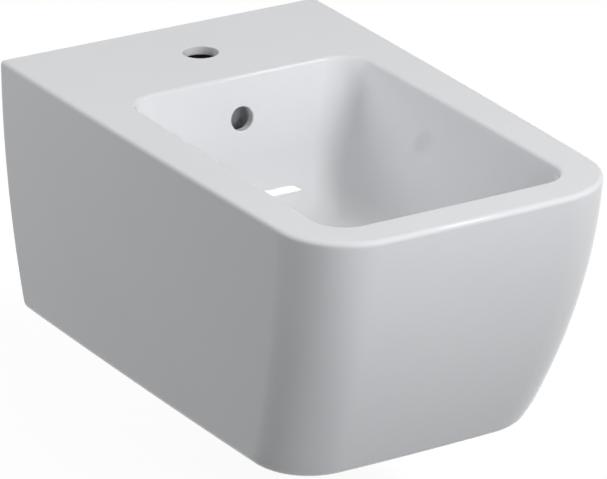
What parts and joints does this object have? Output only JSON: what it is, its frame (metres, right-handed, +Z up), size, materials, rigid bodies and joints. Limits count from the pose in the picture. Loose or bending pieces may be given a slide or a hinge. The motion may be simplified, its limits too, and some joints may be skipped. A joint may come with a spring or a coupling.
{
  "type": "wall-hung bidet",
  "caption": "Wall-hung bidet: glazed ceramic body with a tap-hole deck, deep sloping bowl and overflow, hung on threaded studs, with a push-to-shut waste plug.",
  "frame": {"origin": "on the wall plane, midway between the two wall studs", "axes": "+Z up, +Y into the wall, -Y towards the user, X along the wall; x = 0 is the plane of symmetry"},
  "size_m": [0.355, 0.6294, 0.2685],
  "materials": {
    "white_glaze": "glossy glaze",
    "zinc_steel": "zinc plated",
    "white_plastic": "moulded",
    "chrome": "polished",
    "black_rubber": "matt",
    "brass": "turned",
    "grey_plastic": "moulded",
    "blue_plastic": "moulded",
    "spring_steel": "drawn wire"
  },
  "bodies": {
    "fixed": {"ceramic_body": "white_glaze", "wall_studs": "zinc_steel", "stud_sleeves": "white_plastic", "stud_washers": "zinc_steel", "stud_nuts": "zinc_steel", "nut_caps": "white_plastic", "waste_body": "chrome", "flange_seal": "black_rubber", "body_gasket": "black_rubber", "slip_washer": "white_plastic", "back_nut": "brass", "cartridge_sleeve": "grey_plastic", "cartridge_guide": "grey_plastic", "cartridge_spring": "spring_steel"},
    "plug": {"plug_cap": "chrome", "plug_seal": "black_rubber", "plug_stem": "brass"},
    "rotor": {"latch_rotor": "blue_plastic"}
  },
  "joints": [
    {"name": "plug_press", "type": "slide", "parent": "fixed", "child": "plug", "axis": [0, 0, 1], "range_m": [-0.009, 0], "deforming": ["cartridge_spring"]},
    {"name": "rotor_turn", "type": "hinge", "parent": "plug", "child": "rotor", "pos_m": [0, -0.3, -0.0848], "axis": [0, 0, 1], "continuous": true}
  ]
}
